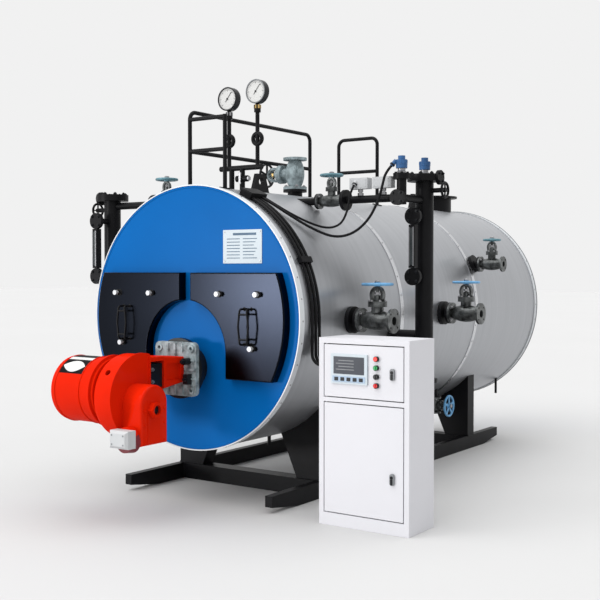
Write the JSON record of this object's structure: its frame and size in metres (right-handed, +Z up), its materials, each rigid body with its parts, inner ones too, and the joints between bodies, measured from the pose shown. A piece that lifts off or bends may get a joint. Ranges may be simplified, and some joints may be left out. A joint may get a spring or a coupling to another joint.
{
  "type": "industrial boiler",
  "caption": "Horizontal fire-tube steam boiler with a front burner, smoke box doors, level columns, valves, guard rails and a control cabinet on sledge skids.",
  "frame": {"origin": "on the ground under the boiler's axis, at the middle of the front cross beam's underside", "axes": "+Z up, +Y along the barrel towards its rear end, +X to the right seen from the burner end"},
  "size_m": [2.68, 4.344, 2.609],
  "materials": {
    "black_steel": "black paint",
    "blue_plate": "gloss blue paint",
    "bright_trim": "polished band",
    "burner_red": "gloss orange red paint",
    "button_red": "buttons",
    "cabinet_white": "powder coat",
    "cable_black": "sheath",
    "cast_alloy": "as cast",
    "chrome_knob": "polished",
    "data_plate": "pale printed plate",
    "display_dark": "panel with screen",
    "electrode_blue": "moulded cap",
    "gauge_face": "dial and case",
    "graphite": "satin graphite paint",
    "jacket": "brushed sheet",
    "pale_rim": "pale satin",
    "valve_iron": "painted casting",
    "wheel_blue": "blue paint",
    "wheel_silver": "silver paint",
    "white_plastic": "moulded"
  },
  "bodies": {
    "boiler": {"air_box": "burner_red", "burner_flange": "cast_alloy", "burner_head": "burner_red", "burner_motor": "burner_red", "burner_port": "black_steel", "cabinet_body": "cabinet_white", "conduits": "black_steel", "cross_beams": "black_steel", "damper_drive": "white_plastic", "data_plate": "data_plate", "door_handles": "black_steel", "door_knobs": "chrome_knob", "drain_pipes": "black_steel", "drain_valve": "valve_iron", "end_rims": "pale_rim", "fan_housing": "burner_red", "flue_outlet": "black_steel", "front_plate": "blue_plate", "front_side_valve": "valve_iron", "gauge_glasses": "black_steel", "gauge_manifold": "black_steel", "guard_rails": "black_steel", "jacket_front": "jacket", "jacket_middle": "jacket", "jacket_rear": "jacket", "left_level_valve": "valve_iron", "left_smoke_door": "graphite", "left_water_column": "black_steel", "level_cable": "cable_black", "level_electrodes": "electrode_blue", "level_lines": "black_steel", "lifting_lugs": "black_steel", "nozzles": "black_steel", "pressure_gauges": "gauge_face", "pressure_switches": "white_plastic", "rear_cover": "blue_plate", "rear_plate": "blue_plate", "rear_side_valve": "valve_iron", "right_level_valve": "valve_iron", "right_smoke_door": "graphite", "right_water_column": "black_steel", "saddle_legs": "black_steel", "seam_bands": "bright_trim", "skids": "black_steel", "steam_valve": "cast_alloy", "switch_cable": "cable_black", "upper_side_valve": "valve_iron"},
    "front_side_handwheel": {"front_side_wheel": "wheel_blue"},
    "rear_side_handwheel": {"rear_side_wheel": "wheel_blue"},
    "upper_side_handwheel": {"upper_side_wheel": "wheel_blue"},
    "right_level_handwheel": {"right_level_wheel": "wheel_blue"},
    "left_level_handwheel": {"left_level_wheel": "wheel_blue"},
    "steam_handwheel": {"steam_wheel": "wheel_silver"},
    "drain_handwheel": {"drain_wheel": "wheel_blue"},
    "upper_door": {"cabinet_upper_door": "cabinet_white", "display_panel": "display_dark", "push_buttons": "button_red", "upper_lock": "chrome_knob"},
    "lower_door": {"cabinet_lower_door": "cabinet_white", "lower_lock": "chrome_knob"}
  },
  "joints": [
    {"name": "front_side_turn", "type": "hinge", "parent": "boiler", "child": "front_side_handwheel", "pos_m": [0.983, -0.044, 1.323], "axis": [0, 0, 1], "range_deg": [0, 1440]},
    {"name": "rear_side_turn", "type": "hinge", "parent": "boiler", "child": "rear_side_handwheel", "pos_m": [0.983, 1.18, 1.323], "axis": [0, 0, 1], "range_deg": [0, 1440]},
    {"name": "upper_side_turn", "type": "hinge", "parent": "boiler", "child": "upper_side_handwheel", "pos_m": [0.88146, 1.84, 1.63505], "axis": [0, 0, 1], "range_deg": [0, 1440]},
    {"name": "right_level_turn", "type": "hinge", "parent": "boiler", "child": "right_level_handwheel", "pos_m": [0.535, 0.145, 2.01], "axis": [0, 0, 1], "range_deg": [0, 1440]},
    {"name": "left_level_turn", "type": "hinge", "parent": "boiler", "child": "left_level_handwheel", "pos_m": [-0.535, -0.22, 2.01], "axis": [0, 0, 1], "range_deg": [0, 1440]},
    {"name": "steam_turn", "type": "hinge", "parent": "boiler", "child": "steam_handwheel", "pos_m": [-0.23, 0.505, 2.088], "axis": [-1, 0, 0], "range_deg": [0, 1440]},
    {"name": "drain_turn", "type": "hinge", "parent": "boiler", "child": "drain_handwheel", "pos_m": [0.596, 1.68, 0.38654], "axis": [1, 0, 0], "range_deg": [0, 1440]},
    {"name": "upper_door_swing", "type": "hinge", "parent": "boiler", "child": "upper_door", "pos_m": [0.965, -0.569, 0.865], "axis": [0, 0, -1], "range_deg": [0, 95]},
    {"name": "lower_door_swing", "type": "hinge", "parent": "boiler", "child": "lower_door", "pos_m": [0.965, -0.569, 0.3805], "axis": [0, 0, -1], "range_deg": [0, 95]}
  ]
}
